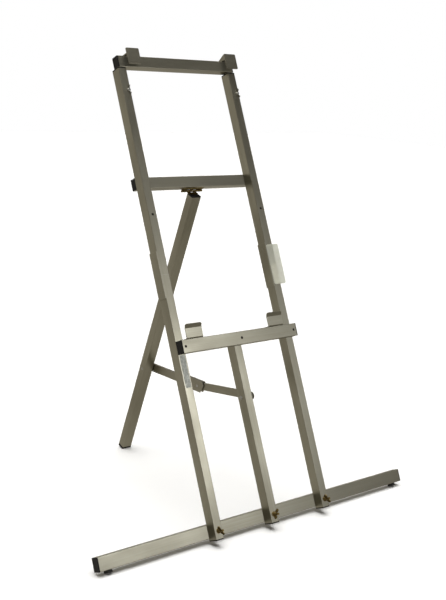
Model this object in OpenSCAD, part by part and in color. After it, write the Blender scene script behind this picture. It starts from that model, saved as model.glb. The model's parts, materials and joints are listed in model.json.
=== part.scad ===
// Folding studio easel of aluminium tube: two uprights, a long base bar, a tray, a rising top bar
// and one rear leg.
// Frame-plane coordinates, used inside in_frame(): x to the right, y towards the back, z up the uprights.

/* [Overall] */
// Lean of the uprights from vertical, degrees
lean = 24; // [18:1:28]
// Angle between the rear leg and the uprights, degrees
leg_open = 44; // [40:1:48]
// Distance between the centres of the two uprights
upright_pitch = 383; // [300:1:500]
// Height of the uprights, measured along them
upright_len = 1289; // [1200:1:1500]
// Length of the base bar over its caps
base_len = 1077; // [800:1:1300]

/* [Tube] */
// Narrow side of the main tube
tube_w = 25.4; // [20:0.1:32]
// Wide side of the main tube
tube_d = 32; // [28:0.1:40]
// Height of the base bar and of the tray bar
deep_bar_h = 36; // [32:0.1:45]
// Wall of every tube
wall = 1.5; // [1.2:0.1:2]
// Outside corner radius of every tube
corner_r = 1.2; // [0.6:0.1:1.2]

/* [Heights along the uprights] */
// Underside of the base bar
base_z = 3; // [2:1:30]
// Underside of the tray bar
tray_z = 487.5; // [440:0.5:540]
// Underside of the cross bar that carries the rear leg
cross_z = 953.5; // [900:0.5:1000]
// Where the lower and upper lengths of an upright meet
splice_z = 706; // [660:1:740]
// Length of a splice plate
plate_len = 129; // [100:1:140]
// Thickness of a splice plate
plate_t = 2.5; // [1.5:0.1:3]
// How far a splice plate stands in front of its upright
plate_lip = 1.2; // [0:0.1:2]
// Distance between the two rivets of a splice plate
rivet_pitch = 95; // [60:1:100]
// Centre of the stop screws
stop_z = 873; // [850:1:900]
// Centre of the thumb screws below the top of the uprights
thumb_drop = 66; // [40:1:90]
// How far the middle strut stops below the top of the tray
strut_drop = 4; // [1:0.5:10]
// How far the thumb screws sit to the right of the middle of their uprights
thumb_side = 5; // [0:0.5:5.5]

/* [Bars] */
// Length of the tray bar over its caps
tray_len = 407; // [330:1:530]
// Length of the cross bar over its caps
cross_len = 401; // [325:1:520]
// Length of the top bar over its caps
top_len = 402; // [325:1:520]

/* [Top slide] */
// Width of the sliding posts
post_w = 19.6; // [17:0.1:21]
// Depth of the sliding posts
post_d = 20; // [17:0.1:24]
// Gap between the top bar and the uprights when it is right down
top_gap = 2; // [1:0.5:4]
// Height of the glides under the sliding posts
glide_h = 9; // [5:0.5:15]

/* [Canvas clips] */
// Width of a top clip
clip_w = 42; // [30:1:60]
// Height of a top clip's front plate
clip_h = 45.5; // [35:0.5:55]
// How far the front plate reaches down from the top of the bar
clip_drop = 28; // [15:1:30]
// Room between the front plate and the bar
clip_room = 12; // [8:0.5:25]
// Thickness of a top clip
clip_t = 2.6; // [2:0.1:4]
// Height of a top clip's rear leg
clip_rear = 20; // [10:1:30]
// Sideways place of the left top clip
clip_left_x = -156; // [-180:1:-100]
// Sideways place of the right top clip
clip_right_x = 188; // [100:1:190]
// Width of a tray lip
lip_w = 55; // [40:1:60]
// Height of a tray lip above the tray
lip_h = 41; // [25:1:60]
// Height of the lip's outward turned edge
lip_flare_h = 12; // [8:1:16]
// Outward turn of that edge, degrees
lip_flare = 24; // [5:1:35]
// Thickness of a tray lip
lip_t = 2; // [1.5:0.1:3]
// Distance between the two rivets of a tray lip
lip_rivet_pitch = 30; // [20:1:32]
// Sideways place of the left tray lip
lip_left_x = -155.5; // [-156:0.5:-100]
// Sideways place of the right tray lip
lip_right_x = 130; // [70:1:150]

/* [Label and strip] */
// Width of the blank label
label_w = 18; // [10:1:22]
// Length of the blank label
label_len = 88; // [40:1:120]
// Width of the frosted strip
strip_w = 44; // [30:1:50]
// Length of the frosted strip
strip_len = 118; // [80:1:160]
// Thickness of the frosted strip
strip_t = 1.6; // [1:0.1:2]

/* [Rear leg and stay] */
// Length of the brass hinge
hinge_len = 72; // [50:1:90]
// Radius of the hinge knuckles
knuckle_r = 3; // [2.5:0.1:4]
// Width of a hinge leaf from the pin
leaf_w = 13; // [12:0.5:20]
// Thickness of a hinge leaf
leaf_t = 1.8; // [1.5:0.1:2.5]
// Radius of the hinge pin
pin_r = 1.6; // [1.2:0.1:1.9]
// Distance of the hinge screws from the pin
leaf_screw_y = 8.5; // [8:0.1:12]
// Distance between the outer screws of the upper leaf
leaf_screw_pitch = 52; // [30:1:60]
// Distance between the screws in the top of the leg
leg_screw_pitch = 16; // [12:1:18]
// Distance of the hinge pin behind the leg
leg_set = 3; // [2:0.1:5]
// Stay bolt on the middle strut, height along it
stay_frame_z = 346; // [300:1:380]
// Stay bolt on the rear leg, distance down from the hinge pin
stay_leg_drop = 606; // [570:1:640]
// Sag of the locked stay, degrees for each arm
stay_sag = 3.7; // [2:0.1:6]
// Height of the stay's rear arm
rear_arm_h = 24; // [20:0.5:26]
// Height of the stay's front arm
front_arm_h = 22; // [16:0.5:22]
// Width of the stay's front arm
front_arm_w = 5.5; // [4:0.1:12]
// Thickness of the stay's sheet
stay_t = 1.5; // [1.2:0.1:2]
// Thickness of the saddle's sheet
saddle_t = 1.6; // [1.2:0.1:2]
// Reach of the saddle behind the knee
saddle_back = 52; // [40:1:60]
// Reach of the saddle in front of the knee
saddle_front = 30; // [20:1:32]
// Height of the saddle over the stay's knee
saddle_h = 34; // [30:1:36]

/* [Fasteners and feet] */
// Thread radius of the base bolts
bolt_r = 3; // [2.5:0.1:4]
// Thread radius of the stay bolts and of the knee rivet
stay_bolt_r = 2.5; // [2:0.1:3]
// Thread radius of the tray, cross bar and stop screws
screw_r = 1.9; // [1.5:0.1:2.5]
// Thread radius of the thumb screws
thumb_r = 2.5; // [2:0.1:3]
// Thickness of the washers
washer_t = 1.2; // [0.8:0.1:2]
// Thickness of the stay's nut
nut_t = 2; // [1.5:0.5:4]
// How far the base bolts stand out in front
bolt_out = 20; // [18:0.5:26]
// Wing span of a wing nut
wing_span = 29; // [22:1:34]
// Turn of the wing nuts at rest, in degrees
wing_turn = 60; // [0:5:90]
// Radius of a base foot
foot_r = 11; // [8:0.5:12]
// Height of a base foot
foot_h = 8; // [6:0.5:12]
// Sideways place of the base feet, from the ends of the base bar
foot_inset = 31; // [20:1:60]
// Rubber worn flat where it meets the floor
foot_flat = 1.2; // [0.5:0.1:2]

/* [Fits] */
// Radial running clearance of a turning pin
run_fit = 0.05; // [0.02:0.01:0.1]
// Gap between parts that slide or swing past each other
move_gap = 0.4; // [0.3:0.1:0.6]
// Gap round a plug or a screw that doesn't move
seat_gap = 0.1; // [0.05:0.05:0.3]

/* [Hidden] */
$fn = 40;
far = 4000;
bar_d = tube_w;
cap_t = 3;
plug_len = 6;
plug_wall = 2;
bolt_z = base_z + deep_bar_h / 2;
upright_x = upright_pitch / 2;
back_y = tube_d + bar_d;
top_z = upright_len + top_gap;
post_y = bar_d / 2;
clip_y = -clip_room - clip_t;
thumb_z = upright_len - thumb_drop;
tray_top = tray_z + deep_bar_h;
strut_len = tray_top - strut_drop;
post_bottom = stop_z + screw_r + move_gap + glide_h;
cross_screw_x = upright_x - 5;
hinge_bite = 0.6;
leaf_drop = knuckle_r + leaf_t - hinge_bite;
leaf_rows = 7;
row_len = hinge_len / leaf_rows;
hinge_screw_x = [-leaf_screw_pitch / 2, 0, leaf_screw_pitch / 2];
leg_screw_x = [-leg_screw_pitch / 2, leg_screw_pitch / 2];
lip_rivet_x = [for (x = [lip_left_x, lip_right_x], s = [-1, 1]) x + s * lip_rivet_pitch / 2];

// Hinge pin of the rear leg
pin_y = back_y + 0.6;
pin_z = cross_z - leaf_drop;
leg_w = tube_d;
leg_d = tube_w;
leg_front = -leg_set - leg_d;
leg_top = -leaf_drop;
leg_foot_h = 8;

// The floor meets the worn rear rims of the base feet
rim_y = tube_d + bar_d / 2 + foot_r;
rim_z = base_z - foot_h;
z_lift = rim_y * sin(lean) - rim_z * cos(lean) - foot_flat;
leg_tilt = leg_open - lean;
leg_len = (pin_z * cos(lean) - pin_y * sin(lean) + z_lift + leg_front * sin(leg_tilt) + foot_flat)
    / cos(leg_tilt);

// Front and back limits, which set the origin midway between them
foot_back_y = pin_y - leg_set * cos(leg_open) + leg_len * sin(leg_open);
foot_back_z = pin_z - leg_set * sin(leg_open) - leg_len * cos(leg_open);
y_back = foot_back_y * cos(lean) + foot_back_z * sin(lean);
y_front = (bolt_z - bolt_r) * sin(lean) - bolt_out * cos(lean);
y_mid = (y_front + y_back) / 2;

// Stay: bolt on the strut, bolt on the leg, and the knee between them
stay_p = [tube_d / 2 + 2, stay_frame_z];
leg_mid = -leg_set - leg_d / 2;
stay_q = [pin_y + leg_mid * cos(leg_open) + stay_leg_drop * sin(leg_open),
    pin_z + leg_mid * sin(leg_open) - stay_leg_drop * cos(leg_open)];
stay_span = norm(stay_q - stay_p);
stay_rise = atan2(stay_q[1] - stay_p[1], stay_q[0] - stay_p[0]);
arm_len = stay_span / 2 / cos(stay_sag);
front_arm_rise = stay_rise - stay_sag;
rear_arm_rise = stay_rise + stay_sag;
knee = stay_p + arm_len * [cos(front_arm_rise), sin(front_arm_rise)];
saddle_x = leg_w / 2 + 0.8;
rear_arm_x = saddle_x + saddle_t;
front_arm_x = rear_arm_x + stay_t + move_gap;
rear_arm_w = front_arm_w + 2 * (stay_t + move_gap);
rear_arm_end = rear_arm_x + rear_arm_w;

silver = "#b9b5a6";
black = "#1c1c1e";
brass = "#8f7a3c";
zinc = "#c9c9cc";
rubber = "#141414";

// ---- Places ----

module in_frame() translate([0, -y_mid, z_lift]) rotate([-lean, 0, 0]) children();

module on_leg() in_frame() translate([0, pin_y, pin_z]) rotate([leg_open, 0, 0]) children();

// Along an arm of the stay: x across the easel, y along the arm towards the back, z up
module on_arm(at, rise) in_frame() translate([0, at[0], at[1]]) rotate([rise, 0, 0]) children();

// ---- Shapes that repeat ----

module rounded(w, d, r = corner_r) {
    square([w - 2 * r, d], center = true);
    square([w, d - 2 * r], center = true);
    for (x = [-1, 1], y = [-1, 1])
        translate([x * (w / 2 - r), y * (d / 2 - r)]) circle(r);
}

module tube(w, d, len)
    linear_extrude(len) difference() {
        rounded(w, d);
        square([w - 2 * wall, d - 2 * wall], center = true);
    }

// Square that fits in a tube's bore with a gap on every side
module bore_square(w, d, gap)
    square([w - 2 * wall - 2 * gap, d - 2 * wall - 2 * gap], center = true);

// End plug: a thin flange over the tube's end and a hollow skirt below it
module plug(w, d, flange = cap_t) {
    linear_extrude(flange) rounded(w, d);
    translate([0, 0, -plug_len]) linear_extrude(plug_len) difference() {
        bore_square(w, d, seat_gap);
        bore_square(w, d, plug_wall);
    }
}

// Bar along x between the flanges of its caps, given the middle of its section
module bar(len, h, y, z)
    translate([-len / 2 + cap_t, y, z]) rotate([0, 90, 0]) tube(h, bar_d, len - 2 * cap_t);

module bar_cap(len, h, y, z, side)
    translate([side * (len / 2 - cap_t), y, z]) rotate([0, side * 90, 0]) plug(h, bar_d);

// Solid rod or hole along x or along y, from one coordinate to another
module rod_x(r, x0, x1, y, z) translate([x0, y, z]) rotate([0, 90, 0]) cylinder(r = r, h = x1 - x0);

module rod_y(r, y0, y1, x, z) translate([x, y0, z]) rotate([-90, 0, 0]) cylinder(r = r, h = y1 - y0);

// Pan head screw along y: head outside at y0, tip at y1
module screw_y(r, y0, y1, x, z) {
    dir = sign(y1 - y0);
    rod_y(r, min(y0, y1), max(y0, y1), x, z);
    translate([x, y0, z]) rotate([dir * 90, 0, 0]) screw_head(2 * r, r * 1.1);
}

module screw_head(r, h)
    difference() {
        rotate_extrude() intersection() {
            translate([0, h - (r * r + h * h) / (2 * h)]) circle((r * r + h * h) / (2 * h));
            square([r, h]);
        }
        translate([0, 0, h]) cube([r * 1.3, r * 0.25, h * 0.8], center = true);
        translate([0, 0, h]) cube([r * 0.25, r * 1.3, h * 0.8], center = true);
    }

// Round rivet along x with a low head at x0
module rivet_x(r, x0, x1, y, z) {
    dir = sign(x1 - x0);
    rod_x(r, min(x0, x1), max(x0, x1), y, z);
    translate([x0, y, z]) rotate([0, -dir * 90, 0]) rivet_head(1.8 * r, 0.7 * r);
}

module rivet_head(r, h)
    rotate_extrude() intersection() {
        translate([0, h - (r * r + h * h) / (2 * h)]) circle((r * r + h * h) / (2 * h));
        square([r, h]);
    }

// Hub with two ears, standing up along z
module wing_body(span, hub_r, hub_h, t) {
    ear_r = span * 0.18;
    ear_x = span / 2 - ear_r;
    ear_z = hub_h + ear_r * 0.25;
    rotate_extrude() polygon([[0, 0], [hub_r, 0], [hub_r * 0.72, hub_h], [0, hub_h]]);
    for (s = [-1, 1])
        translate([0, t / 2, 0]) rotate([90, 0, 0]) linear_extrude(t) {
            translate([s * ear_x, ear_z]) circle(ear_r);
            polygon([[s * hub_r * 0.8, 0.5],
                [s * (ear_x + ear_r * cos(40)), ear_z - ear_r * sin(40)],
                [s * (ear_x - ear_r * cos(40)), ear_z + ear_r * sin(40)],
                [s * hub_r * 0.3, hub_h * 0.9]]);
        }
}

// Side of a stay arm: two round ends about its pivots, which lie at 0 and at len
module arm_side(len, h) {
    circle(h / 2);
    translate([len, 0]) circle(h / 2);
    translate([0, -h / 2]) square([len, h]);
}

// Inverted channel along y, its left face at x
module arm(x, w, h, len, bore0, bore1)
    difference() {
        union() {
            for (s = [x, x + w - stay_t])
                translate([s, 0, 0]) rotate([90, 0, 90]) linear_extrude(stay_t) arm_side(len, h);
            translate([x, h * 0.6, h / 2 - stay_t]) cube([w, len - 1.2 * h, stay_t]);
        }
        rod_x(bore0, x - 1, x + w + 1, 0, 0);
        rod_x(bore1, x - 1, x + w + 1, len, 0);
    }

// ---- Uprights, strut and bars ----

module lower_upright(side)
    difference() {
        translate([side * upright_x, tube_d / 2, 0]) tube(tube_w, tube_d, splice_z - seat_gap);
        rod_y(bolt_r + seat_gap, -1, tube_d + 1, side * upright_x, bolt_z);
        rod_y(screw_r + seat_gap, -1, 2 * wall, side * upright_x, tray_z + deep_bar_h / 2);
        splice_holes(side);
    }

module upper_upright(side)
    difference() {
        translate([side * upright_x, tube_d / 2, splice_z])
            tube(tube_w, tube_d, upright_len - cap_t - splice_z);
        rod_y(screw_r + seat_gap, -1, 2 * wall, side * upright_x, stop_z);
        rod_y(thumb_r + run_fit, -1, 2 * wall, side * upright_x + thumb_side, thumb_z);
        rod_y(screw_r + seat_gap, tube_d - 2 * wall, tube_d + 1, side * cross_screw_x,
            cross_z + tube_d / 2);
        splice_holes(side);
    }

module splice_holes(side)
    for (s = [-1, 1])
        rod_x(screw_r, side * upright_x - tube_w / 2 - plate_t - 1, side * upright_x - tube_w / 2 + 2 * wall,
            tube_d / 2, splice_z + s * rivet_pitch / 2);

module splice_plate(side)
    color(silver) in_frame() difference() {
        translate([side * upright_x - tube_w / 2 - plate_t, tube_d / 2 - plate_lip / 2, splice_z])
            rotate([0, 90, 0]) linear_extrude(plate_t) rounded(plate_len, tube_d + plate_lip, 1);
        splice_holes(side);
    }

module left_lower_upright() color(silver) in_frame() lower_upright(-1);
module right_lower_upright() color(silver) in_frame() lower_upright(1);
module left_upper_upright() color(silver) in_frame() upper_upright(-1);
module right_upper_upright() color(silver) in_frame() upper_upright(1);
module left_splice_plate() splice_plate(-1);
module right_splice_plate() splice_plate(1);

module splice_rivets()
    color(silver) in_frame() for (side = [-1, 1], s = [-1, 1])
        rivet_x(screw_r, side * upright_x - tube_w / 2 - plate_t, side * upright_x - tube_w / 2 + wall + 1,
            tube_d / 2, splice_z + s * rivet_pitch / 2);

module middle_strut()
    color(silver) in_frame() difference() {
        translate([0, tube_d / 2, 0]) tube(tube_w, tube_d, strut_len - cap_t);
        rod_y(bolt_r + seat_gap, -1, tube_d + 1, 0, bolt_z);
        rod_y(screw_r + seat_gap, -1, 2 * wall, 0, tray_z + deep_bar_h / 2);
        rod_x(stay_bolt_r + seat_gap, -tube_w, tube_w, stay_p[0], stay_p[1]);
    }

module base_bar()
    color(silver) in_frame() difference() {
        bar(base_len, deep_bar_h, tube_d + bar_d / 2, bolt_z);
        for (x = [-upright_x, 0, upright_x])
            rod_y(bolt_r + seat_gap, tube_d - 1, back_y + 1, x, bolt_z);
    }

module tray_bar()
    color(silver) in_frame() difference() {
        bar(tray_len, deep_bar_h, -bar_d / 2, tray_z + deep_bar_h / 2);
        for (x = [-upright_x, 0, upright_x])
            rod_y(screw_r + seat_gap, -bar_d - 1, 1, x, tray_z + deep_bar_h / 2);
        for (x = lip_rivet_x)
            translate([x, -bar_d / 2, tray_top - 2 * wall]) cylinder(r = screw_r, h = 3 * wall);
    }

module cross_bar()
    color(silver) in_frame() difference() {
        bar(cross_len, tube_d, tube_d + bar_d / 2, cross_z + tube_d / 2);
        for (x = [-cross_screw_x, cross_screw_x])
            rod_y(screw_r + seat_gap, tube_d - 1, back_y + 1, x, cross_z + tube_d / 2);
        for (x = hinge_screw_x)
            translate([x, pin_y - leaf_screw_y, cross_z - 1]) cylinder(r = screw_r, h = 2 * wall + 1);
    }

module base_left_cap()
    color(black) in_frame() bar_cap(base_len, deep_bar_h, tube_d + bar_d / 2, bolt_z, -1);

module base_right_cap()
    color(black) in_frame() bar_cap(base_len, deep_bar_h, tube_d + bar_d / 2, bolt_z, 1);

module tray_end_caps()
    color(black) in_frame() for (side = [-1, 1])
        bar_cap(tray_len, deep_bar_h, -bar_d / 2, tray_z + deep_bar_h / 2, side);

module cross_end_caps()
    color(black) in_frame() for (side = [-1, 1])
        bar_cap(cross_len, tube_d, tube_d + bar_d / 2, cross_z + tube_d / 2, side);

module bottom_plug(x) translate([x, tube_d / 2, 0]) mirror([0, 0, 1]) plug(tube_w, tube_d);

module left_upright_plug() color(black) in_frame() bottom_plug(-upright_x);
module right_upright_plug() color(black) in_frame() bottom_plug(upright_x);

module strut_plugs()
    color(black) in_frame() {
        bottom_plug(0);
        translate([0, tube_d / 2, strut_len - cap_t]) plug(tube_w, tube_d);
    }

// Guide for the sliding post in the top of an upright
module collar(side)
    color(black) in_frame() translate([side * upright_x, tube_d / 2, upright_len - cap_t])
        difference() {
            union() {
                linear_extrude(cap_t) rounded(tube_w, tube_d);
                translate([0, 0, -2 * plug_len]) linear_extrude(2 * plug_len)
                    bore_square(tube_w, tube_d, seat_gap);
            }
            translate([0, post_y - tube_d / 2, -3 * plug_len]) linear_extrude(4 * plug_len)
                square([post_w + 2 * move_gap, post_d + 2 * move_gap], center = true);
        }

module left_collar() collar(-1);
module right_collar() collar(1);

module foot(side)
    color(rubber) difference() {
        in_frame() translate([side * (base_len / 2 - foot_inset), tube_d + bar_d / 2, base_z - foot_h])
            cylinder(r = foot_r, h = foot_h);
        translate([-far / 2, -far / 2, -far]) cube(far);
    }

module left_foot() foot(-1);
module right_foot() foot(1);

// ---- Fasteners ----

module tray_screws()
    color(zinc) in_frame() for (x = [-upright_x, 0, upright_x])
        screw_y(screw_r, -bar_d, wall + 4, x, tray_z + deep_bar_h / 2);

module cross_screws()
    color(zinc) in_frame() for (x = [-cross_screw_x, cross_screw_x])
        screw_y(screw_r, back_y, tube_d - wall - 4, x, cross_z + tube_d / 2);

module stop_screws()
    color(zinc) in_frame() for (side = [-1, 1])
        screw_y(screw_r, 0, wall + 5, side * upright_x, stop_z);

module base_bolts()
    color(brass) in_frame() for (x = [-upright_x, 0, upright_x]) {
        rod_y(bolt_r, -bolt_out, back_y, x, bolt_z);
        translate([x, back_y, bolt_z]) rotate([-90, 0, 0]) rivet_head(bolt_r * 2.2, bolt_r);
    }

module base_washers()
    color(brass) in_frame() for (x = [-upright_x, 0, upright_x]) difference() {
        rod_y(bolt_r * 2.4, -washer_t, 0, x, bolt_z);
        rod_y(bolt_r + seat_gap, -washer_t - 1, 1, x, bolt_z);
    }

module wing_nut(x, turn)
    color(brass) in_frame() translate([x, -washer_t - move_gap, bolt_z]) rotate([90, turn, 0])
        difference() {
            wing_body(wing_span, bolt_r * 2.1, bolt_r * 2.8, 2.6);
            translate([0, 0, -1]) cylinder(r = bolt_r + run_fit, h = wing_span);
        }

module left_wing_nut() wing_nut(-upright_x, wing_turn);
module middle_wing_nut() wing_nut(0, -wing_turn);
module right_wing_nut() wing_nut(upright_x, wing_turn);

module thumb_screw(side)
    color(zinc) in_frame() translate([side * upright_x + thumb_side, -move_gap, thumb_z])
        rotate([90, 90, 0]) {
            wing_body(wing_span, thumb_r * 2, thumb_r * 2.4, 2.2);
            translate([0, 0, post_d / 2 - post_y]) cylinder(r = thumb_r, h = post_y - post_d / 2 + 1);
        }

module left_thumb_screw() thumb_screw(-1);
module right_thumb_screw() thumb_screw(1);

module label_plate()
    color("#c4c4c0") in_frame() translate([-upright_x, 0, tray_z - 1 - label_len / 2]) rotate([90, 0, 0])
        linear_extrude(0.5) rounded(label_w, label_len, 2);

module plastic_strip()
    color("#e8ebe4", 0.6) in_frame()
        translate([upright_x - tube_w / 2 + strip_w / 2 + 1, 0, splice_z - strip_t]) rotate([90, 0, 0])
            linear_extrude(strip_t) rounded(strip_w, strip_len, 6);

// ---- Hinge, rear leg ----

// Leaf above its pin, which lies along x through the origin; rows are the knuckles that it holds
module leaf(rows, width, bore, screws)
    difference() {
        union() {
            translate([-width / 2, -leaf_w, leaf_drop - leaf_t])
                cube([width, leaf_w - knuckle_r - move_gap, leaf_t]);
            for (i = rows) {
                x0 = -hinge_len / 2 + i * row_len + move_gap / 2;
                rod_x(knuckle_r, x0, x0 + row_len - move_gap, 0, 0);
                translate([x0, -knuckle_r - move_gap - 0.1, leaf_drop - leaf_t])
                    cube([row_len - move_gap, knuckle_r + move_gap + 0.1, leaf_t]);
            }
        }
        rod_x(bore, -hinge_len, hinge_len, 0, 0);
        for (x = screws)
            translate([x, -leaf_screw_y, 0]) cylinder(r = screw_r + seat_gap, h = 2 * leaf_drop);
    }

module leaf_screws(xs)
    for (x = xs)
        translate([x, -leaf_screw_y, leaf_drop - leaf_t]) {
            cylinder(r = screw_r, h = leaf_t + wall + 3);
            mirror([0, 0, 1]) screw_head(2 * screw_r, 1.2);
        }

module hinge_top_leaf()
    color(brass) in_frame() translate([0, pin_y, pin_z])
        leaf([0, 1, 3, 5, 6], hinge_len, pin_r, hinge_screw_x);

module hinge_pin() color(brass) in_frame() rod_x(pin_r, -hinge_len / 2, hinge_len / 2, pin_y, pin_z);
module hinge_top_screws() color(brass) in_frame() translate([0, pin_y, pin_z]) leaf_screws(hinge_screw_x);
module hinge_leg_leaf()
    color(brass) on_leg() mirror([0, 0, 1])
        leaf([2, 4], 3 * row_len - move_gap, pin_r + run_fit, leg_screw_x);

module hinge_leg_screws() color(brass) on_leg() mirror([0, 0, 1]) leaf_screws(leg_screw_x);

module rear_leg()
    color(silver) on_leg() difference() {
        translate([0, leg_mid, -leg_len + leg_foot_h])
            tube(leg_w, leg_d, leg_len + leg_top - cap_t - leg_foot_h);
        rod_x(stay_bolt_r + seat_gap, -leg_w, leg_w, leg_mid, -stay_leg_drop);
    }

module leg_top_plug()
    color(black) on_leg() difference() {
        translate([0, leg_mid, leg_top - cap_t]) {
            plug(leg_w, leg_d);
            translate([0, 0, -plug_len]) linear_extrude(plug_len) bore_square(leg_w, leg_d, plug_wall);
        }
        for (x = leg_screw_x)
            translate([x, -leaf_screw_y, leg_top - 2 * plug_len]) cylinder(r = screw_r, h = 3 * plug_len);
    }

module leg_foot()
    color(rubber) difference() {
        on_leg() translate([0, leg_mid, -leg_len + leg_foot_h]) mirror([0, 0, 1])
            plug(leg_w, leg_d, leg_foot_h);
        translate([-far / 2, -far / 2, -far]) cube(far);
    }

module leg_stay_rivet()
    color(zinc) on_leg() rivet_x(stay_bolt_r, -leg_w / 2, leg_w / 2 + move_gap, leg_mid, -stay_leg_drop);

// ---- Folding stay ----

module stay_frame_bolt()
    color(zinc) in_frame() {
        rivet_x(stay_bolt_r, -tube_w / 2 - washer_t, front_arm_x + front_arm_w + move_gap + nut_t,
            stay_p[0], stay_p[1]);
        rod_x(stay_bolt_r * 2.2, -tube_w / 2 - washer_t, -tube_w / 2, stay_p[0], stay_p[1]);
        translate([front_arm_x + front_arm_w + move_gap, stay_p[0], stay_p[1]]) rotate([0, 90, 0])
            cylinder(r = stay_bolt_r * 1.8, h = nut_t, $fn = 6);
    }

module stay_spacer()
    color(black) in_frame() difference() {
        rod_x(stay_bolt_r * 2, tube_w / 2, front_arm_x - move_gap, stay_p[0], stay_p[1]);
        rod_x(stay_bolt_r + seat_gap, 0, front_arm_x, stay_p[0], stay_p[1]);
    }

module stay_front_arm()
    color(silver) on_arm(stay_p, front_arm_rise)
        arm(front_arm_x, front_arm_w, front_arm_h, arm_len, stay_bolt_r + run_fit, stay_bolt_r + run_fit);

module stay_rear_arm()
    color(silver) on_arm(knee, rear_arm_rise)
        arm(rear_arm_x, rear_arm_w, rear_arm_h, arm_len, stay_bolt_r, stay_bolt_r);

// Plate folded over the knee; its top stops the arms when they lock just past straight
module knee_saddle()
    color(silver) on_arm(knee, rear_arm_rise) difference() {
        union() {
            for (x = [saddle_x, rear_arm_end])
                translate([x, 0, 0]) rotate([90, 0, 90]) linear_extrude(saddle_t) saddle_side();
            translate([saddle_x, -saddle_front * 0.7, saddle_h / 2 - saddle_t])
                cube([rear_arm_end + saddle_t - saddle_x, saddle_front * 0.7 + saddle_back, saddle_t]);
        }
        rod_x(stay_bolt_r, 0, 2 * rear_arm_end, 0, 0);
    }

module saddle_side()
    polygon([[-saddle_front * 0.7, saddle_h / 2], [-saddle_front, saddle_h * 0.2],
        [-saddle_front * 0.5, -saddle_h / 2], [saddle_back, -saddle_h / 2], [saddle_back, saddle_h / 2]]);

module knee_rivet()
    color(zinc) on_arm(knee, rear_arm_rise) {
        rivet_x(stay_bolt_r, rear_arm_end + saddle_t, saddle_x, 0, 0);
        rod_x(stay_bolt_r * 1.6, saddle_x - 0.3, saddle_x, 0, 0);
    }

module stay_arm_rivet()
    color(zinc) on_arm(knee, rear_arm_rise) rivet_x(stay_bolt_r, rear_arm_end, saddle_x, arm_len, 0);

// ---- Sliding top ----

module post(side)
    color(silver) in_frame() translate([side * upright_x, post_y, post_bottom])
        tube(post_w, post_d, top_z - post_bottom);

module left_post() post(-1);
module right_post() post(1);

module post_glides()
    color(black) in_frame() for (side = [-1, 1]) {
        translate([side * upright_x, tube_d / 2, post_bottom - glide_h]) linear_extrude(glide_h)
            bore_square(tube_w, tube_d, move_gap);
        translate([side * upright_x, post_y, post_bottom]) linear_extrude(glide_h)
            bore_square(post_w, post_d, seat_gap);
    }

module top_bar() color(silver) in_frame() bar(top_len, tube_d, bar_d / 2, top_z + tube_d / 2);

module top_end_caps()
    color(black) in_frame() for (side = [-1, 1])
        bar_cap(top_len, tube_d, bar_d / 2, top_z + tube_d / 2, side);

// Bent plate: front plate, web over the bar, a short rear leg, and a gusset on the side towards the middle
module top_clip(x, inner)
    color(silver) in_frame() translate([x - clip_w / 2, 0, top_z + tube_d]) {
        translate([clip_w / 2, clip_y, clip_h / 2 - clip_drop]) rotate([-90, 0, 0])
            linear_extrude(clip_t) rounded(clip_w, clip_h, 3);
        translate([0, clip_y, move_gap]) cube([clip_w, bar_d + move_gap + clip_t - clip_y, clip_t]);
        translate([0, bar_d + move_gap, move_gap - clip_rear]) cube([clip_w, clip_t, clip_rear + clip_t]);
        translate([inner > 0 ? clip_w - clip_t : 0, 0, 0]) rotate([90, 0, 90]) linear_extrude(clip_t)
            polygon([[clip_y + clip_t / 2, move_gap], [bar_d, move_gap], [bar_d, move_gap + clip_t],
                [clip_y + clip_t, clip_h - clip_drop - 1], [clip_y + clip_t / 2, clip_h - clip_drop - 3]]);
    }

module left_top_clip() top_clip(clip_left_x, 1);
module right_top_clip() top_clip(clip_right_x, -1);

// ---- Tray lips ----

module tray_lip(x)
    color(silver) in_frame() translate([x, -bar_d, tray_top]) difference() {
        union() {
            translate([-lip_w / 2, 0, 0]) cube([lip_w, bar_d - 3, lip_t]);
            translate([-lip_w / 2, 0, 0]) cube([lip_w, lip_t, lip_h - lip_flare_h]);
            translate([0, lip_t, lip_h - lip_flare_h]) rotate([lip_flare, 0, 0]) rotate([90, 0, 0])
                linear_extrude(lip_t) lip_top();
        }
        for (s = [-1, 1])
            translate([s * lip_rivet_pitch / 2, bar_d / 2, -1]) cylinder(r = screw_r, h = lip_t + 2);
    }

// Turned edge of a lip: its lower edge straight, its upper corners round
module lip_top() {
    r = 5;
    root = lip_t * sin(lip_flare);
    translate([-lip_w / 2, -root]) square([lip_w, lip_flare_h - r + root]);
    translate([-lip_w / 2 + r, 0]) square([lip_w - 2 * r, lip_flare_h]);
    for (s = [-1, 1]) translate([s * (lip_w / 2 - r), lip_flare_h - r]) circle(r);
}

module left_tray_lip() tray_lip(lip_left_x);
module right_tray_lip() tray_lip(lip_right_x);

module lip_rivets()
    color(silver) in_frame() for (x = lip_rivet_x)
        translate([x, -bar_d / 2, tray_top - 2 * wall]) {
            cylinder(r = screw_r, h = 2 * wall + lip_t);
            translate([0, 0, 2 * wall + lip_t]) rivet_head(1.8 * screw_r, 1);
        }

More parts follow.
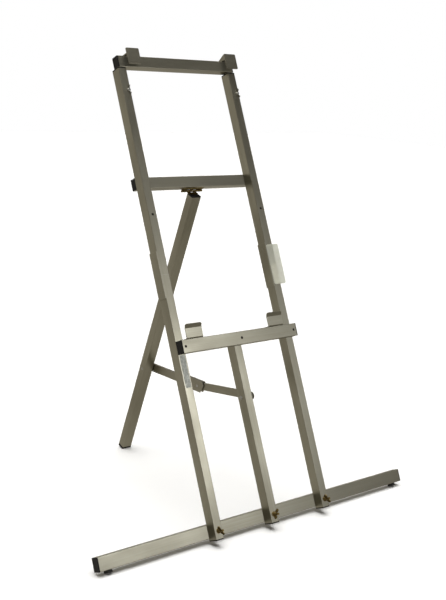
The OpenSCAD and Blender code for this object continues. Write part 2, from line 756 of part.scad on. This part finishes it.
left_lower_upright();
right_lower_upright();
left_upper_upright();
right_upper_upright();
left_splice_plate();
right_splice_plate();
splice_rivets();
middle_strut();
base_bar();
tray_bar();
cross_bar();
base_left_cap();
base_right_cap();
tray_end_caps();
cross_end_caps();
left_upright_plug();
right_upright_plug();
strut_plugs();
left_collar();
right_collar();
left_foot();
right_foot();
tray_screws();
cross_screws();
stop_screws();
base_bolts();
base_washers();
left_wing_nut();
middle_wing_nut();
right_wing_nut();
label_plate();
plastic_strip();
hinge_top_leaf();
hinge_pin();
hinge_top_screws();
hinge_leg_leaf();
hinge_leg_screws();
rear_leg();
leg_top_plug();
leg_foot();
leg_stay_rivet();
stay_frame_bolt();
stay_spacer();
stay_front_arm();
stay_rear_arm();
knee_saddle();
knee_rivet();
stay_arm_rivet();
left_post();
right_post();
post_glides();
top_bar();
top_end_caps();
left_top_clip();
right_top_clip();
left_tray_lip();
right_tray_lip();
lip_rivets();
left_thumb_screw();
right_thumb_screw();
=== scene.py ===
import bpy
import bmesh
import json
import math
from mathutils import Matrix, Vector


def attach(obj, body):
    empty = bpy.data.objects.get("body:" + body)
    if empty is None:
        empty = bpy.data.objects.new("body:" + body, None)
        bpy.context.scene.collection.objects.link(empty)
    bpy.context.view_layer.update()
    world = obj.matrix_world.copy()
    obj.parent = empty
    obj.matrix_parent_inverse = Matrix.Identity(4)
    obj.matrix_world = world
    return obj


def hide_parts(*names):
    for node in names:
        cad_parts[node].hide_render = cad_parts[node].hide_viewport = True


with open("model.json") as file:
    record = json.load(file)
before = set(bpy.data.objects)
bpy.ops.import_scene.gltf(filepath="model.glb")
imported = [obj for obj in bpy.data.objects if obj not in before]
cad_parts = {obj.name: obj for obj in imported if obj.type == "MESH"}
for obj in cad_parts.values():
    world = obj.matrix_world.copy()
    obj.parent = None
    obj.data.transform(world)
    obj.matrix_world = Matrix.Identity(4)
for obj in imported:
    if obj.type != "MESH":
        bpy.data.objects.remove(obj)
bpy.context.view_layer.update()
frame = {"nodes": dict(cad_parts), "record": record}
nodes = frame["nodes"]
print("frame loaded,", len(nodes), "CAD nodes")

mm = 0.001
uprightTilt = math.radians(24)  # the uprights lean back
legTilt = math.radians(-20)  # the rear leg leans the other way

cameraSet = {
    "location": (-1.7756, -2.2606, 1.2061),
    "turn": (77.474, -2.906, -38.724),  # degrees, with the slight roll of a hand-held camera
    "lens": 41.165,
    "sensorHeight": 24.0,
}


def placeCamera(settings):
    data = bpy.data.cameras.new("studioCamera")
    data.sensor_fit = "VERTICAL"
    data.sensor_height = settings["sensorHeight"]
    data.lens = settings["lens"]
    data.clip_end = 60
    camera = bpy.data.objects.new("studioCamera", data)
    camera.location = settings["location"]
    camera.rotation_euler = [math.radians(a) for a in settings["turn"]]
    bpy.context.scene.collection.objects.link(camera)
    bpy.context.scene.camera = camera


placeCamera(cameraSet)
print("camera placed")


def linear(hexColour, alpha=1.0):
    channels = [int(hexColour[i:i + 2], 16) / 255 for i in (1, 3, 5)]
    return [c / 12.92 if c <= 0.04045 else ((c + 0.055) / 1.055) ** 2.4 for c in channels] + [alpha]


def addNode(tree, kind, settings, links):
    # settings hold the node's own options and its socket values, links feed its sockets
    node = tree.nodes.new(kind)
    for key, value in settings.items():
        if isinstance(key, str) and hasattr(node, key):
            setattr(node, key, value)
        else:
            node.inputs[key].default_value = value
    for key, source in links.items():
        tree.links.new(source, node.inputs[key])
    return node


def newMaterial(name):
    material = bpy.data.materials.new(name)
    material.use_nodes = True
    return material, material.node_tree, material.node_tree.nodes["Principled BSDF"]


def alongGrain(tree, tilt, across, along, axis):
    # object coordinates turned so that one axis runs along the piece, then stretched along it
    place = addNode(tree, "ShaderNodeTexCoord", {}, {})
    turned = addNode(tree, "ShaderNodeMapping", {"Rotation": (tilt, 0, 0)}, {"Vector": place.outputs["Object"]})
    scale = [1 / across] * 3
    scale[axis] = 1 / along
    return addNode(tree, "ShaderNodeMapping", {"Scale": scale}, {"Vector": turned.outputs["Vector"]})


def edgeMask(tree, radius):
    # 1 on rounded-off edges, where handling has polished the surface
    soft = addNode(tree, "ShaderNodeBevel", {"samples": 3, "Radius": radius}, {})
    sharp = addNode(tree, "ShaderNodeNewGeometry", {}, {})
    dot = addNode(tree, "ShaderNodeVectorMath", {"operation": "DOT_PRODUCT"},
                  {0: soft.outputs["Normal"], 1: sharp.outputs["Normal"]})
    return addNode(tree, "ShaderNodeMapRange",
                   {"From Min": 0.99, "From Max": 0.8, "To Min": 0.0, "To Max": 1.0},
                   {"Value": dot.outputs["Value"]}).outputs["Result"]


aluminiumSet = {
    "body": "#acaa9c",  # champagne grey of clear anodised 6063
    "stain": "#999688",
    "edge": "#cfccc2",
    "line": "#d8d4c8",
    "dieLine": 1.6 * mm,  # real lines lie 0.3 mm apart, drawn coarser so that they show
    "dieLength": 320 * mm,
    "cloud": 70 * mm,
    "roughness": (0.29, 0.39),
}


def anodisedAluminium(name, tilt, axis):
    # extruded 6063 tube, etched and clear anodised: satin, with faint draw lines along its length
    material, tree, surface = newMaterial(name)
    s = aluminiumSet
    lines = addNode(tree, "ShaderNodeTexNoise", {"Scale": 1.0, "Detail": 3.0, "Roughness": 0.6},
                    {"Vector": alongGrain(tree, tilt, s["dieLine"], s["dieLength"], axis).outputs["Vector"]})
    clouds = addNode(tree, "ShaderNodeTexNoise", {"Scale": 1.0, "Detail": 4.0},
                     {"Vector": alongGrain(tree, tilt, s["cloud"], s["cloud"] * 3, axis).outputs["Vector"]})
    grit = addNode(tree, "ShaderNodeTexNoise", {"Scale": 1.0, "Detail": 2.0},
                   {"Vector": alongGrain(tree, tilt, 0.7 * mm, 0.9 * mm, axis).outputs["Vector"]})
    patches = addNode(tree, "ShaderNodeMapRange", {"From Min": 0.3, "From Max": 0.7},
                      {"Value": clouds.outputs["Fac"]})
    shade = addNode(tree, "ShaderNodeMix",
                    {"data_type": "RGBA", 6: linear(s["body"]), 7: linear(s["stain"])},
                    {0: patches.outputs["Result"]})
    drawn = addNode(tree, "ShaderNodeMapRange", {"From Min": 0.3, "From Max": 0.7, "To Max": 0.35},
                    {"Value": lines.outputs["Fac"]})
    streak = addNode(tree, "ShaderNodeMix",
                     {"data_type": "RGBA", "blend_type": "MULTIPLY", 7: linear(s["line"])},
                     {0: drawn.outputs["Result"], 6: shade.outputs[2]})
    rubbed = addNode(tree, "ShaderNodeMapRange", {"To Max": 0.6}, {"Value": edgeMask(tree, 0.9 * mm)})
    worn = addNode(tree, "ShaderNodeMix", {"data_type": "RGBA", 7: linear(s["edge"])},
                   {0: rubbed.outputs["Result"], 6: streak.outputs[2]})
    bump = addNode(tree, "ShaderNodeBump", {"Strength": 0.16, "Distance": 0.05 * mm},
                   {"Height": lines.outputs["Fac"]})
    fineBump = addNode(tree, "ShaderNodeBump", {"Strength": 0.12, "Distance": 0.03 * mm},
                       {"Height": grit.outputs["Fac"], "Normal": bump.outputs["Normal"]})
    smoothest, roughest = s["roughness"]
    satin = addNode(tree, "ShaderNodeMapRange",
                    {"From Min": 0.3, "From Max": 0.7, "To Min": smoothest, "To Max": roughest},
                    {"Value": clouds.outputs["Fac"]})
    surface.inputs["Metallic"].default_value = 1.0
    tree.links.new(worn.outputs[2], surface.inputs["Base Color"])
    tree.links.new(satin.outputs["Result"], surface.inputs["Roughness"])
    tree.links.new(fineBump.outputs["Normal"], surface.inputs["Normal"])
    return material


def grainedSurface(name, settings):
    # one recipe for the moulded and turned pieces: cloudy colour, cloudy roughness and a fine bump
    material, tree, surface = newMaterial(name)
    s = settings
    clouds = addNode(tree, "ShaderNodeTexNoise", {"Scale": 1.0, "Detail": 5.0, "Roughness": 0.6},
                     {"Vector": alongGrain(tree, uprightTilt, s["cloud"], s["cloud"], 2).outputs["Vector"]})
    grain = addNode(tree, "ShaderNodeTexNoise", {"Scale": 1.0, "Detail": 3.0},
                    {"Vector": alongGrain(tree, uprightTilt, s["grain"], s["grain"] * s["stretch"], 0)
                     .outputs["Vector"]})
    patches = addNode(tree, "ShaderNodeMapRange", {"From Min": 0.3, "From Max": 0.7},
                      {"Value": clouds.outputs["Fac"]})
    shade = addNode(tree, "ShaderNodeMix",
                    {"data_type": "RGBA", 6: linear(s["body"]), 7: linear(s["stain"])},
                    {0: patches.outputs["Result"]})
    rubbed = addNode(tree, "ShaderNodeMapRange", {"To Max": 0.7}, {"Value": edgeMask(tree, s["wear"])})
    worn = addNode(tree, "ShaderNodeMix", {"data_type": "RGBA", 7: linear(s["edge"])},
                   {0: rubbed.outputs["Result"], 6: shade.outputs[2]})
    bump = addNode(tree, "ShaderNodeBump", {"Strength": s["bump"], "Distance": 0.1 * mm},
                   {"Height": grain.outputs["Fac"]})
    smoothest, roughest = s["roughness"]
    satin = addNode(tree, "ShaderNodeMapRange",
                    {"From Min": 0.3, "From Max": 0.7, "To Min": smoothest, "To Max": roughest},
                    {"Value": clouds.outputs["Fac"]})
    surface.inputs["Metallic"].default_value = s["metallic"]
    surface.inputs["Specular IOR Level"].default_value = s.get("specular", 0.5)
    surface.inputs["Transmission Weight"].default_value = s.get("transmission", 0.0)
    if "ior" in s:
        surface.inputs["IOR"].default_value = s["ior"]
    tree.links.new(worn.outputs[2], surface.inputs["Base Color"])
    tree.links.new(satin.outputs["Result"], surface.inputs["Roughness"])
    tree.links.new(bump.outputs["Normal"], surface.inputs["Normal"])
    return material


blackPolythene = grainedSurface("blackPolythene", {  # injection moulded plugs: soft sheen, fine spark texture
    "body": "#0b0b0c", "stain": "#141415", "edge": "#2a2a2b", "cloud": 12 * mm, "grain": 0.6 * mm,
    "stretch": 1.0, "wear": 0.5 * mm, "bump": 0.25, "metallic": 0.0, "roughness": (0.38, 0.52), "ior": 1.51,
    "specular": 0.2})
blackRubber = grainedSurface("blackRubber", {  # moulded nitrile, dusty from the floor
    "body": "#151515", "stain": "#2b2a27", "edge": "#383631", "cloud": 7 * mm, "grain": 0.8 * mm,
    "stretch": 1.0, "wear": 0.7 * mm, "bump": 0.5, "metallic": 0.0, "roughness": (0.68, 0.88), "ior": 1.52,
    "specular": 0.3})
dullBrass = grainedSurface("dullBrass", {  # pressed and turned brass, browned with handling
    "body": "#84734a", "stain": "#5f5030", "edge": "#b39f6c", "cloud": 6 * mm, "grain": 0.5 * mm,
    "stretch": 5.0, "wear": 0.5 * mm, "bump": 0.25, "metallic": 1.0, "roughness": (0.26, 0.44)})
brightZinc = grainedSurface("brightZinc", {  # electroplated steel with a faint yellow passivation
    "body": "#c3c5c8", "stain": "#a9a79c", "edge": "#e2e3e5", "cloud": 5 * mm, "grain": 0.4 * mm,
    "stretch": 3.0, "wear": 0.4 * mm, "bump": 0.2, "metallic": 1.0, "roughness": (0.2, 0.34)})
paintedShadeScrewSteel = grainedSurface("paintedShadeScrewSteel", {  # screw heads painted near-black: painted shade of the countersunk holes they sit in
    "body": "#3d3a36", "stain": "#2a2826", "edge": "#77736c", "cloud": 3 * mm, "grain": 0.4 * mm,
    "stretch": 2.0, "wear": 0.3 * mm, "bump": 0.2, "metallic": 1.0, "roughness": (0.3, 0.45)})
labelFoil = grainedSurface("labelFoil", {  # blank printed foil, scuffed
    "body": "#94968f", "stain": "#6f716c", "edge": "#b5b5b0", "cloud": 5 * mm, "grain": 0.5 * mm,
    "stretch": 12.0, "wear": 0.3 * mm, "bump": 0.15, "metallic": 0.7, "roughness": (0.3, 0.42)})
frostedAcrylic = grainedSurface("frostedAcrylic", {  # sanded sheet that lets light through without a view
    "body": "#dcddd2", "stain": "#cfd0c4", "edge": "#fafbf7", "cloud": 14 * mm, "grain": 0.5 * mm,
    "stretch": 1.0, "wear": 0.4 * mm, "bump": 0.3, "metallic": 0.0, "roughness": (0.42, 0.56),
    "transmission": 0.75, "ior": 1.49})

uprightAluminium = anodisedAluminium("uprightAluminium", uprightTilt, 2)
barAluminium = anodisedAluminium("barAluminium", uprightTilt, 0)
legAluminium = anodisedAluminium("legAluminium", legTilt, 2)
stayAluminium = anodisedAluminium("stayAluminium", 0.0, 1)
finishes = {"black_plastic": blackPolythene, "rubber": blackRubber, "brass": dullBrass, "zinc_plate": brightZinc,
            "dark_steel": paintedShadeScrewSteel, "label": labelFoil, "clear_plastic": frostedAcrylic}
grainOf = {"rear_leg": legAluminium, "stay_front_arm": stayAluminium, "stay_rear_arm": stayAluminium,
           "knee_saddle": stayAluminium}
slotOf = {part["node"]: part["material_slot"] for part in frame["record"]["subparts"]}
bodyOf = {n: b for b, members in frame["record"]["behaviour"]["bodies"].items() for n in members}


def finishFor(node):
    if slotOf[node] != "aluminium_tube":
        return finishes[slotOf[node]]
    lying = node.endswith("_bar") or "lip" in node or "clip" in node
    return grainOf.get(node, barAluminium if lying else uprightAluminium)


for nodeName, cadObject in nodes.items():
    cadObject.data.materials.clear()
    cadObject.data.materials.append(finishFor(nodeName))
print("materials made")


def tiltedBox(node, tilt=uprightTilt, side=0):
    # lowest and highest corners along the piece's own axes; side picks the half left or right of the middle
    turn = Matrix.Rotation(tilt, 3, "X")
    points = [turn @ v.co for v in nodes[node].data.vertices if side * v.co.x >= 0]
    low = Vector([min(p[i] for p in points) for i in range(3)])
    high = Vector([max(p[i] for p in points) for i in range(3)])
    return low, high


def finishPiece(name, mesh, node, material, tilt=uprightTilt, bevel=0.0, smooth=35, also=()):
    # the mesh is made along the piece's own axes and turned into the easel's frame here
    data = bpy.data.meshes.new(name)
    bmesh.ops.remove_doubles(mesh, verts=mesh.verts, dist=1e-6)
    bmesh.ops.recalc_face_normals(mesh, faces=mesh.faces)
    mesh.to_mesh(data)
    mesh.free()
    data.transform(Matrix.Rotation(-tilt, 4, "X"))
    data.materials.append(material)
    for face in data.polygons:
        face.use_smooth = True
    piece = bpy.data.objects.new(name, data)
    bpy.context.scene.collection.objects.link(piece)
    if bevel:
        edge = piece.modifiers.new("softEdge", "BEVEL")
        edge.width = bevel
        edge.segments = 3
        edge.angle_limit = math.radians(smooth)
        edge.harden_normals = False
    flat = piece.modifiers.new("keepFlats", "WEIGHTED_NORMAL")
    flat.keep_sharp = True
    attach(piece, bodyOf[node])
    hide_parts(node, *also)
    return piece


def roundedOutline(width, height, radius, steps=5):
    points = []
    for corner in range(4):
        cx = (width / 2 - radius) * (1 if corner in (0, 3) else -1)
        cy = (height / 2 - radius) * (1 if corner in (0, 1) else -1)
        for i in range(steps + 1):
            a = math.radians(90 * corner + 90 * i / steps)
            points.append((cx + radius * math.cos(a), cy + radius * math.sin(a)))
    return points


def stackOutlines(mesh, outlines, place, closeFirst=True, closeLast=True):
    # joins outlines of equal length into a skin; each is (points, height)
    rings = [[mesh.verts.new(place(x, y, h)) for x, y in points] for points, h in outlines]
    for lower, upper in zip(rings, rings[1:]):
        for i in range(len(lower)):
            j = (i + 1) % len(lower)
            mesh.faces.new((lower[i], lower[j], upper[j], upper[i]))
    if closeFirst:
        mesh.faces.new(rings[0][::-1])
    if closeLast:
        mesh.faces.new(rings[-1])


capSet = {"rim": 0.55 * mm, "recess": 0.4 * mm, "land": 3.2 * mm, "radius": 1.2 * mm, "flange": 3.0 * mm,
          "skirt": 6.0 * mm, "wall": 1.6 * mm}


def mouldedCap(mesh, low, high, axis, outward):
    # flange with a rounded rim round a shallow dished face, and a skirt inside the tube
    s = capSet
    others = [i for i in range(3) if i != axis]
    width, height = (high[others[0]] - low[others[0]], high[others[1]] - low[others[1]])
    middle = (low + high) / 2
    face = high[axis] if outward > 0 else low[axis]

    def place(x, y, h):
        point = Vector((0, 0, 0))
        point[others[0]] = middle[others[0]] + x
        point[others[1]] = middle[others[1]] + y
        point[axis] = face - outward * (s["flange"] - h)
        return point

    def shape(inset):
        return roundedOutline(width - 2 * inset, height - 2 * inset, max(s["radius"] - inset * 0.3, 0.3 * mm))

    inside = s["wall"]
    outlines = [(shape(inside), -s["skirt"]), (shape(inside), 0.0), (shape(0.0), 0.0),
                (shape(0.0), s["flange"] - s["rim"])]
    for a in (30, 60, 90):
        turn = math.radians(a)
        outlines.append((shape(s["rim"] * (1 - math.cos(turn))), s["flange"] - s["rim"] * (1 - math.sin(turn))))
    outlines.append((shape(s["land"]), s["flange"]))
    outlines.append((shape(s["land"] + s["recess"]), s["flange"] - s["recess"]))
    stackOutlines(mesh, outlines, place)


for capNode, axis, sides in (("base_left_cap", 0, (-1,)), ("base_right_cap", 0, (1,)),
                             ("tray_end_caps", 0, (-1, 1)), ("cross_end_caps", 0, (-1, 1)),
                             ("top_end_caps", 0, (-1, 1)), ("left_upright_plug", 2, (-1,)),
                             ("right_upright_plug", 2, (1,))):
    capMesh = bmesh.new()
    for side in sides:
        low, high = tiltedBox(capNode, side=side)
        mouldedCap(capMesh, low, high, axis, side if axis == 0 else -1)
    finishPiece(capNode + "_moulded", capMesh, capNode, blackPolythene)
print("end caps made")


def lathe(mesh, profile, place, steps=40):
    # profile is (radius, height) from the first to the last ring
    rings = [([(r * math.cos(2 * math.pi * i / steps), r * math.sin(2 * math.pi * i / steps))
               for i in range(steps)], h) for r, h in profile]
    stackOutlines(mesh, rings, place)


footSet = {"radius": 11.0 * mm, "height": 8.0 * mm, "edge": 1.5 * mm, "waist": 0.6 * mm}


def rubberFoot(node):
    # turned by its mould: a slight waist under the bar and a rounded rim, worn flat where it stands
    s = footSet
    low, high = tiltedBox(node)
    middle = (low + high) / 2
    top = high.z
    profile = [(s["radius"] - 1.2 * mm, 0.0), (s["radius"] - 0.4 * mm, -0.8 * mm),
               (s["radius"] - s["waist"], -2.4 * mm), (s["radius"], -4.0 * mm),
               (s["radius"], -s["height"] + s["edge"])]
    for a in (30, 60, 90):
        turn = math.radians(a)
        profile.append((s["radius"] - s["edge"] * (1 - math.cos(turn)),
                        -s["height"] + s["edge"] * (1 - math.sin(turn))))
    profile += [(5.0 * mm, -s["height"]), (4.2 * mm, -s["height"] + 0.8 * mm), (0.5 * mm, -s["height"] + 0.8 * mm)]
    depthMiddle = high.y - s["radius"]
    mesh = bmesh.new()
    lathe(mesh, profile, lambda x, y, h: Vector((middle.x + x, depthMiddle + y, top + h)))
    bmesh.ops.transform(mesh, matrix=Matrix.Rotation(-uprightTilt, 4, "X"), verts=mesh.verts)
    everything = mesh.verts[:] + mesh.edges[:] + mesh.faces[:]
    bmesh.ops.bisect_plane(mesh, geom=everything, plane_co=(0, 0, 0), plane_no=(0, 0, -1), clear_outer=True)
    bmesh.ops.holes_fill(mesh, edges=[e for e in mesh.edges if e.is_boundary])
    finishPiece(node + "_moulded", mesh, node, blackRubber, tilt=0.0)


for footNode in ("left_foot", "right_foot"):
    rubberFoot(footNode)
print("feet made")

wingNutSet = {"span": 29.0, "hub": 6.3, "hubHeight": 8.4, "ear": 5.2, "thick": 2.6, "bore": 3.1}
thumbSet = {"span": 29.0, "hub": 5.0, "hubHeight": 6.0, "ear": 4.2, "thick": 2.2, "bore": 0.0}


def wingPiece(node, s, material, degrees, shank=0.0):
    # drop forged wings on a tapered hub, all edges rolled over; sizes in mm
    low, high = tiltedBox(node)
    middle = (low + high) / 2
    back = high.y - shank * mm
    turn = math.radians(degrees)
    mesh = bmesh.new()

    def onFace(x, y, h):
        return Vector((middle.x + x * math.cos(turn) + y * math.sin(turn), back - h,
                       middle.z - x * math.sin(turn) + y * math.cos(turn)))

    hub, top = s["hub"] * mm, s["hubHeight"] * mm
    inner = max(s["bore"], 0.6) * mm
    lathe(mesh, [(inner, 0.0), (hub - 0.5 * mm, 0.0), (hub, 0.6 * mm), (hub * 0.97, top * 0.25),
                 (hub * 0.74, top - 0.6 * mm), (hub * 0.66, top), (inner + 0.2 * mm, top), (inner, top - 0.4 * mm)],
          onFace, 32)
    ear = s["ear"] * mm
    earX = s["span"] / 2 * mm - ear
    earH = top + ear * 0.25
    half = s["thick"] / 2 * mm
    for side in (-1, 1):
        outline = [(side * hub * 0.25, top * 0.2), (side * hub * 0.85, 0.8 * mm)]
        for i in range(13):
            a = math.radians(-50 + 195 * i / 12)
            outline.append((side * (earX + ear * math.cos(a)), earH + ear * math.sin(a)))
        outline.append((side * hub * 0.25, top * 0.92))
        rings = []
        for depth, shrink in ((-half, 0.7 * mm), (-half + 0.25 * mm, 0.25 * mm), (-half + 0.8 * mm, 0.0),
                              (half - 0.8 * mm, 0.0), (half - 0.25 * mm, 0.25 * mm), (half, 0.7 * mm)):
            cx = sum(p[0] for p in outline) / len(outline)
            ch = sum(p[1] for p in outline) / len(outline)
            ring = []
            for x, h in outline:
                away = Vector((x - cx, h - ch))
                away.length = max(away.length - shrink, 0)
                ring.append(mesh.verts.new(onFace(cx + away.x, depth, ch + away.y)))
            rings.append(ring)
        for lower, upper in zip(rings, rings[1:]):
            for i in range(len(lower)):
                j = (i + 1) % len(lower)
                mesh.faces.new((lower[i], lower[j], upper[j], upper[i]))
        mesh.faces.new(rings[0])
        mesh.faces.new(rings[-1])
    if shank:
        lathe(mesh, [(2.5 * mm, -shank * mm), (2.5 * mm, 0.4 * mm)], onFace, 24)
    finishPiece(node + "_forged", mesh, node, material)


for nutNode, degrees in (("left_wing_nut", 60), ("middle_wing_nut", -60), ("right_wing_nut", 60)):
    wingPiece(nutNode, wingNutSet, dullBrass, degrees)
for thumbNode in ("left_thumb_screw", "right_thumb_screw"):
    wingPiece(thumbNode, thumbSet, brightZinc, 90, shank=2.7)
print("wing nuts and thumb screws made")


def filletPath(points, radius, steps=6):
    # polyline with its inner corners rounded
    path = [Vector(points[0])]
    for before, corner, after in zip(points, points[1:], points[2:]):
        c = Vector(corner)
        a, b = (Vector(before) - c).normalized(), (Vector(after) - c).normalized()
        half = a.angle(b) / 2
        reach = radius / math.tan(half)
        centre = c + (a + b).normalized() * (radius / math.sin(half))
        start, end = c + a * reach - centre, c + b * reach - centre
        sweep = start.angle_signed(end)
        for i in range(steps + 1):
            path.append(centre + Matrix.Rotation(-sweep * i / steps, 2) @ start)
    path.append(Vector(points[-1]))
    return path


def bentSheet(mesh, points, x0, x1, thickness, bend, rounds):
    # sheet bent along points (y, z), from x0 to x1; rounds are the corner radii at its two ends
    path = filletPath(points, bend) if len(points) > 2 else [Vector(p) for p in points]
    total = sum((b - a).length for a, b in zip(path, path[1:]))
    for radius, atEnd in ((rounds[0], False), (rounds[1], True)):
        if radius:
            a, b = (path[-1], path[-2]) if atEnd else (path[0], path[1])
            along = (b - a).normalized()
            extra = [a + along * radius * (1 - math.cos(math.radians(t))) for t in (20, 40, 60, 75, 90)]
            path = path[:-1] + extra[::-1] + [a] if atEnd else [a] + extra + path[1:]
    middle, half = (x0 + x1) / 2, (x1 - x0) / 2
    travelled, rings = 0.0, []
    for i, point in enumerate(path):
        if i:
            travelled += (point - path[i - 1]).length
        ahead = path[min(i + 1, len(path) - 1)] - path[max(i - 1, 0)]
        normal = Vector((-ahead.y, ahead.x)).normalized() * thickness / 2
        reach = half
        for radius, away in ((rounds[0], travelled), (rounds[1], total - travelled)):
            if radius and away < radius:
                reach = half - radius + math.sqrt(max(radius ** 2 - (radius - away) ** 2, 0))
        rings.append([mesh.verts.new((middle + sx * reach, point.x + sn * normal.x, point.y + sn * normal.y))
                      for sx, sn in ((-1, -1), (1, -1), (1, 1), (-1, 1))])
    for lower, upper in zip(rings, rings[1:]):
        for i in range(4):
            j = (i + 1) % 4
            mesh.faces.new((lower[i], lower[j], upper[j], upper[i]))
    mesh.faces.new(rings[0][::-1])
    mesh.faces.new(rings[-1])


lipSet = {"sheet": 2.0 * mm, "flare": math.radians(24), "flareHeight": 12.0 * mm, "bend": 3.0 * mm,
          "corner": 5.0 * mm, "height": 41.0 * mm}


def trayLip(node):
    # 2 mm strip bent up from the tray, with its top edge turned towards the painter
    s = lipSet
    low, high = tiltedBox(node)
    half = s["sheet"] / 2
    trayFront = tiltedBox("tray_bar")[0].y
    elbow = (trayFront + half, low.z + s["height"] - s["flareHeight"])
    top = (elbow[0] - math.sin(s["flare"]) * s["flareHeight"], elbow[1] + math.cos(s["flare"]) * s["flareHeight"])
    mesh = bmesh.new()
    bentSheet(mesh, [(high.y, low.z + half), (trayFront + half, low.z + half), elbow, top],
              low.x, high.x, s["sheet"], s["bend"], (3.0 * mm, s["corner"]))
    finishPiece(node + "_bent", mesh, node, barAluminium, bevel=0.35 * mm)


for lipNode in ("left_tray_lip", "right_tray_lip"):
    trayLip(lipNode)

clipSet = {"sheet": 2.6 * mm, "corner": 3.0 * mm, "bend": 3.2 * mm, "above": 17.5 * mm}


def topClip(node):
    # front plate with a web behind it that is bent down over the back of the bar
    s = clipSet
    low, high = tiltedBox(node)
    half = s["sheet"] / 2
    web = high.z - s["above"] + 0.4 * mm + half
    bottom = tiltedBox(node, side=0)[0].z
    rear = [v.co for v in nodes[node].data.vertices]
    turn = Matrix.Rotation(uprightTilt, 3, "X")
    rearLow = min((turn @ p).z for p in rear if (turn @ p).y > high.y - 1 * mm)
    inner = high.x - half if node.startswith("left") else low.x + half
    mesh = bmesh.new()
    gusset = [(low.y + half, web - half), (high.y - s["sheet"] - 0.4 * mm, web - half),
              (high.y - s["sheet"] - 0.4 * mm, web + half), (low.y + s["sheet"], high.z - 1 * mm),
              (low.y + half, high.z - 3 * mm)]
    stackOutlines(mesh, [(gusset, inner - half * 0.98), (gusset, inner + half * 0.98)],
                  lambda y, z, x: Vector((x, y, z)))
    bentSheet(mesh, [(low.y + half, bottom), (low.y + half, high.z)], low.x, high.x, s["sheet"], 0,
              (s["corner"], s["corner"]))
    bentSheet(mesh, [(low.y + half * 1.5, web), (high.y - half, web), (high.y - half, rearLow)], low.x, high.x,
              s["sheet"], s["bend"], (0, 1.5 * mm))
    finishPiece(node + "_bent", mesh, node, barAluminium, bevel=0.35 * mm)


for clipNode in ("left_top_clip", "right_top_clip"):
    topClip(clipNode)
print("lips and clips bent")


def studioFloor(size):
    mesh = bmesh.new()
    bmesh.ops.create_grid(mesh, x_segments=24, y_segments=24, size=size)
    data = bpy.data.meshes.new("studioFloor")
    mesh.to_mesh(data)
    mesh.free()
    material, tree, surface = newMaterial("paleSeamlessPaper")
    surface.inputs["Base Color"].default_value = linear("#f7f7f6")
    surface.inputs["Roughness"].default_value = 0.95
    surface.inputs["Specular IOR Level"].default_value = 0.0
    data.materials.append(material)
    floor = bpy.data.objects.new("studioFloor", data)
    floor.visible_glossy = False
    bpy.context.scene.collection.objects.link(floor)


studioFloor(14)

lights = {
    # name: place, aim, width, height, watts
    "frontBox": ((3.5, -6.3, 3.1), (0.0, -0.1, 0.4), 1.6, 1.6, 76),
}
for lightName, (place, aim, width, height, watts) in lights.items():
    lamp = bpy.data.lights.new(lightName, "AREA")
    lamp.shape = "RECTANGLE"
    lamp.size, lamp.size_y = width, height
    lamp.energy = watts
    lamp.use_shadow = False  # a fill light: the panel overhead draws the shadows
    box = bpy.data.objects.new(lightName, lamp)
    box.location = place
    box.rotation_euler = (Vector(aim) - Vector(place)).to_track_quat("-Z", "Y").to_euler()
    bpy.context.scene.collection.objects.link(box)

skylight = bpy.data.lights.new("overheadPanel", "SUN")  # even light from above, as from a lit ceiling
skylight.energy = 3.5
skylight.angle = math.radians(70)
panel = bpy.data.objects.new("overheadPanel", skylight)
bpy.context.scene.collection.objects.link(panel)

world = bpy.data.worlds.new("studioWorld")
world.use_nodes = True
bpy.context.scene.world = world
sky = world.node_tree
background = sky.nodes["Background"]
direction = addNode(sky, "ShaderNodeTexCoord", {}, {})
lower = addNode(sky, "ShaderNodeVectorMath", {"operation": "DOT_PRODUCT", 1: (-0.3, 0.3, -0.9)},
                {0: direction.outputs["Generated"]})
paper = addNode(sky, "ShaderNodeMapRange", {"From Min": -0.6, "From Max": 0.2},
                {"Value": lower.outputs["Value"]})
# the room is dim overhead and in front, and pale where the paper rolls away to the back
room = addNode(sky, "ShaderNodeMix", {"data_type": "RGBA", 6: (0.055, 0.047, 0.034, 1), 7: (0.45, 0.42, 0.36, 1)},
               {0: paper.outputs["Result"]})
ray = addNode(sky, "ShaderNodeLightPath", {}, {})
tone = addNode(sky, "ShaderNodeMix", {"data_type": "RGBA", 7: (1, 1, 1, 1)},
               {0: ray.outputs["Is Camera Ray"], 6: room.outputs[2]})
sky.links.new(tone.outputs[2], background.inputs["Color"])
bpy.context.scene.view_settings.view_transform = "Standard"
print("studio lit")
